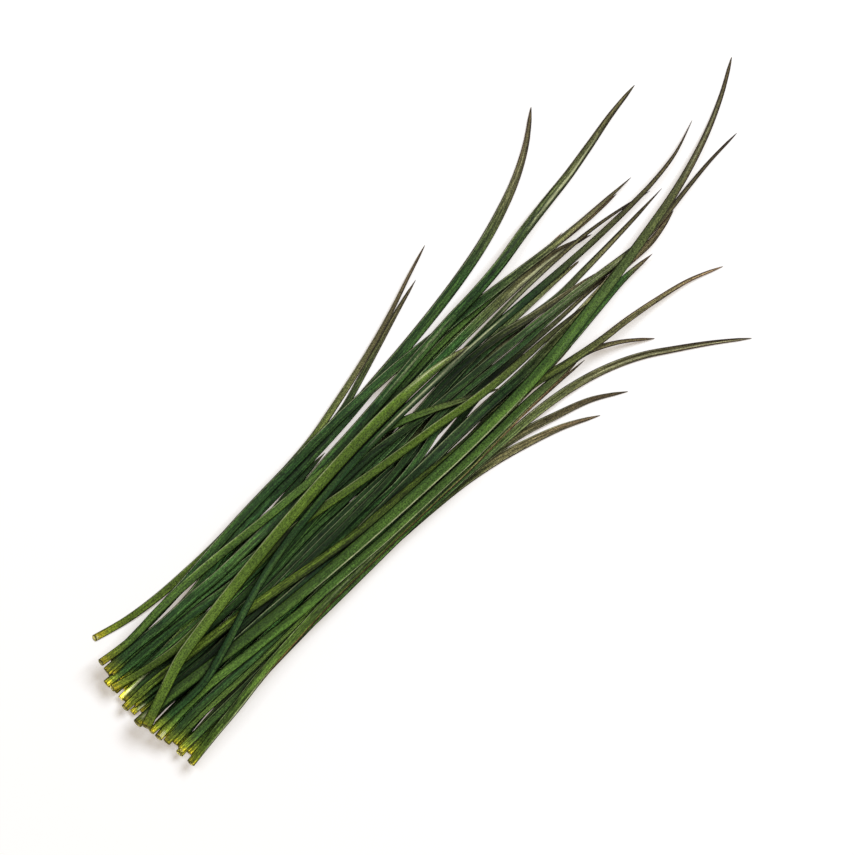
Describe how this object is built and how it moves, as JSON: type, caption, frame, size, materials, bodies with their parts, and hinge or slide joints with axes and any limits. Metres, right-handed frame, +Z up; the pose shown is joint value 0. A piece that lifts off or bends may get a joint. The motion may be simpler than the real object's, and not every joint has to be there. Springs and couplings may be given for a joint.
{
  "type": "chive bunch",
  "caption": "Loose bunch of fresh chives lying flat: hollow round leaves, cut level at one end and splaying to fine tips at the other.",
  "frame": {"origin": "under the middle of the bunch, on the surface it lies on", "axes": "+X along the leaves from the cut ends to the tips, +Y across the bunch, +Z up"},
  "size_m": [0.2588, 0.0932, 0.0152],
  "materials": {
    "leaf_bright": "fresh leaf, light yellow-green, matte and slightly waxy",
    "leaf_fresh": "fresh leaf, mid green, matte and slightly waxy",
    "leaf_mid": "fresh leaf, grass green, matte and slightly waxy",
    "leaf_deep": "fresh leaf, deep green, matte and slightly waxy",
    "leaf_dusky": "fresh leaf, dark bluish green, matte and slightly waxy"
  },
  "bodies": {
    "root": {"leaf_01": "leaf_mid", "leaf_02": "leaf_mid", "leaf_03": "leaf_deep", "leaf_04": "leaf_deep", "leaf_05": "leaf_mid", "leaf_06": "leaf_deep", "leaf_07": "leaf_deep", "leaf_08": "leaf_deep", "leaf_09": "leaf_mid", "leaf_10": "leaf_mid", "leaf_11": "leaf_deep", "leaf_12": "leaf_mid", "leaf_13": "leaf_mid", "leaf_14": "leaf_fresh", "leaf_15": "leaf_mid", "leaf_16": "leaf_mid", "leaf_17": "leaf_mid", "leaf_18": "leaf_mid", "leaf_19": "leaf_fresh", "leaf_20": "leaf_fresh", "leaf_21": "leaf_deep", "leaf_22": "leaf_deep", "leaf_23": "leaf_mid", "leaf_24": "leaf_mid", "leaf_25": "leaf_mid", "leaf_26": "leaf_mid", "leaf_27": "leaf_deep", "leaf_28": "leaf_deep", "leaf_29": "leaf_mid", "leaf_30": "leaf_dusky", "leaf_31": "leaf_mid", "leaf_32": "leaf_mid", "leaf_33": "leaf_mid", "leaf_34": "leaf_deep", "leaf_35": "leaf_fresh", "leaf_36": "leaf_fresh", "leaf_37": "leaf_deep", "leaf_38": "leaf_bright", "leaf_39": "leaf_fresh", "leaf_40": "leaf_fresh", "leaf_41": "leaf_bright", "leaf_42": "leaf_dusky", "leaf_43": "leaf_bright"}
  },
  "joints": []
}
